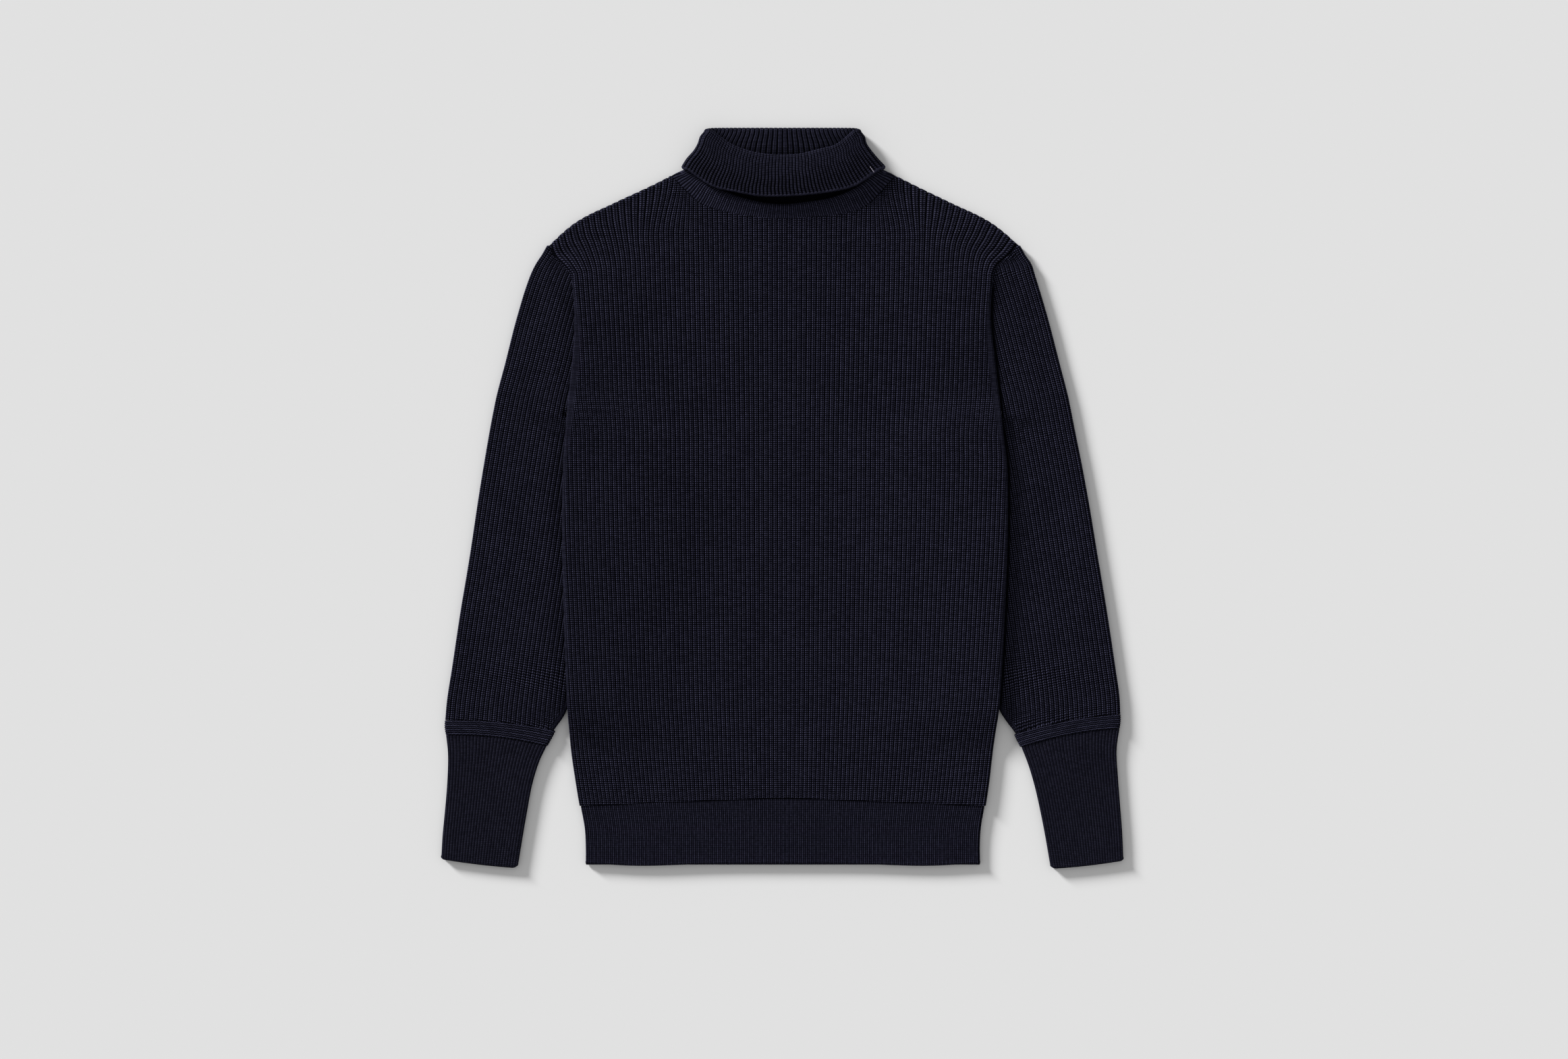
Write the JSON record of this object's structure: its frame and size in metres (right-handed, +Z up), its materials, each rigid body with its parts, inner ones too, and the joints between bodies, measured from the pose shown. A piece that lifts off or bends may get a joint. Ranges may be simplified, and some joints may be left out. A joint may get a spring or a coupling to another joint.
{
  "type": "turtleneck sweater",
  "caption": "Fine ribbed wool sweater with a turned-down roll collar, laid flat on its back with the sleeves folded down beside the body.",
  "frame": {"origin": "on the resting surface, under the middle of the bounding box of the sweater as it lies", "axes": "+X towards the wearer's left, +Y from the hem to the collar, +Z up out of the front"},
  "size_m": [0.7178, 0.7802, 0.0144],
  "materials": {
    "main_rib": "dark navy wool in a plump two-by-one half cardigan rib, matt with a slight nap",
    "tight_rib": "the same yarn in a close flat one-by-one rib",
    "garter": "the same yarn in raised garter ridges",
    "neck_rib": "the same yarn in a fine rib",
    "collar_rib": "the same yarn in a deep rib with a chained cast-off edge"
  },
  "bodies": {
    "root": {"front": "main_rib", "back": "main_rib", "hem_rib_front": "tight_rib", "hem_rib_back": "tight_rib", "sleeve_right": "main_rib", "sleeve_left": "main_rib", "wrist_band_right": "garter", "wrist_band_left": "garter", "cuff_right": "tight_rib", "cuff_left": "tight_rib", "neck_band": "neck_rib", "collar": "collar_rib"}
  },
  "joints": []
}
